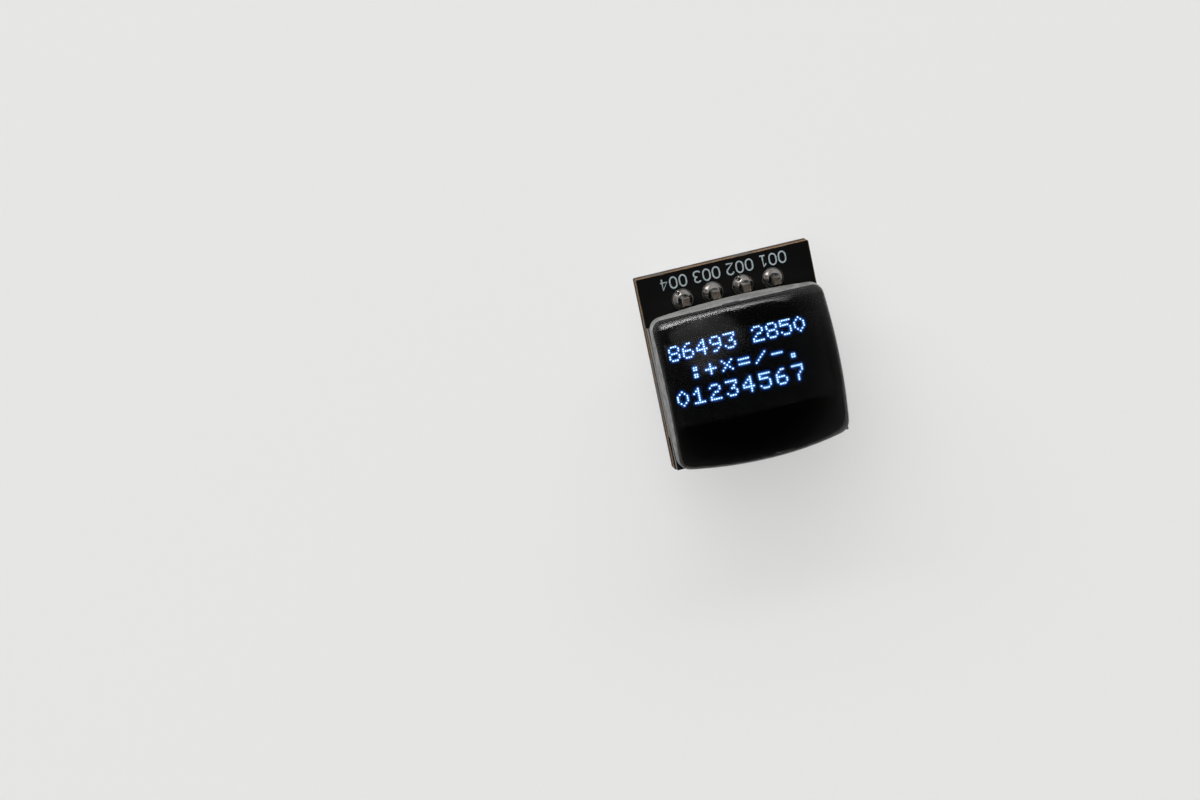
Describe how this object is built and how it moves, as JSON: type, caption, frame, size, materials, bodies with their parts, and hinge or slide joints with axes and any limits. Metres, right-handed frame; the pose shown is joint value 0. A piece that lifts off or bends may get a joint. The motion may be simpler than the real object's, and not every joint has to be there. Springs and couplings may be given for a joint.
{
  "type": "small oled module",
  "caption": "Small dot-matrix display panel under a domed magnifying lens, on a black board with a pin header.",
  "frame": {"origin": "middle of the pin row, on the underside of the header housing", "axes": "+X along the pin row, +Y towards the board edge nearest the header, +Z out of the screen"},
  "size_m": [0.0146, 0.0162, 0.0157],
  "materials": {
    "board": "black solder mask over brown glass-epoxy laminate with bare cut edges",
    "copper": "tinned copper pads",
    "solder": "bright tin solder with a slightly rippled skin",
    "pin_metal": "tinned square brass wire with cut ends",
    "header_plastic": "black moulded plastic",
    "foam_tape": "black foam tape",
    "panel_glass": "thin sheet glass with cut edges",
    "desiccant": "pale drying sheet",
    "pixels": "dark light-emitting layer, lit dots pale blue",
    "black_film": "smooth black film",
    "chip": "bare silicon die",
    "flex": "black cover film over amber polyimide and copper tracks",
    "adhesive": "clear double-sided adhesive",
    "lens_plastic": "clear moulded acrylic, polished dome, finely frosted side walls",
    "capacitor_ceramic": "tan ceramic",
    "resistor_ceramic": "black overglaze on white ceramic",
    "terminal_metal": "tin-plated ends"
  },
  "bodies": {
    "root": {"circuit_board": "board", "plated_holes": "copper", "flex_pads": "copper", "component_pads": "copper", "solder_joint_1": "solder", "solder_joint_2": "solder", "solder_joint_3": "solder", "solder_joint_4": "solder", "flex_solder": "solder", "component_solder": "solder", "header_pin_1": "pin_metal", "header_pin_2": "pin_metal", "header_pin_3": "pin_metal", "header_pin_4": "pin_metal", "header_housing": "header_plastic", "mounting_tape": "foam_tape", "front_glass": "panel_glass", "cap_glass": "panel_glass", "desiccant_sheet": "desiccant", "pixel_layer": "pixels", "polarizer": "black_film", "ledge_tape": "black_film", "chip_sealant": "black_film", "driver_chip": "chip", "flex_cable": "flex", "lens_adhesive": "adhesive", "lens": "lens_plastic", "capacitor_body_1": "capacitor_ceramic", "capacitor_body_2": "capacitor_ceramic", "capacitor_body_3": "capacitor_ceramic", "capacitor_body_4": "capacitor_ceramic", "capacitor_body_5": "capacitor_ceramic", "capacitor_body_6": "capacitor_ceramic", "resistor_body_1": "resistor_ceramic", "resistor_body_2": "resistor_ceramic", "resistor_body_3": "resistor_ceramic", "resistor_body_4": "resistor_ceramic", "capacitor_terminals_1": "terminal_metal", "capacitor_terminals_2": "terminal_metal", "capacitor_terminals_3": "terminal_metal", "capacitor_terminals_4": "terminal_metal", "capacitor_terminals_5": "terminal_metal", "capacitor_terminals_6": "terminal_metal", "resistor_terminals_1": "terminal_metal", "resistor_terminals_2": "terminal_metal", "resistor_terminals_3": "terminal_metal", "resistor_terminals_4": "terminal_metal"}
  },
  "joints": []
}
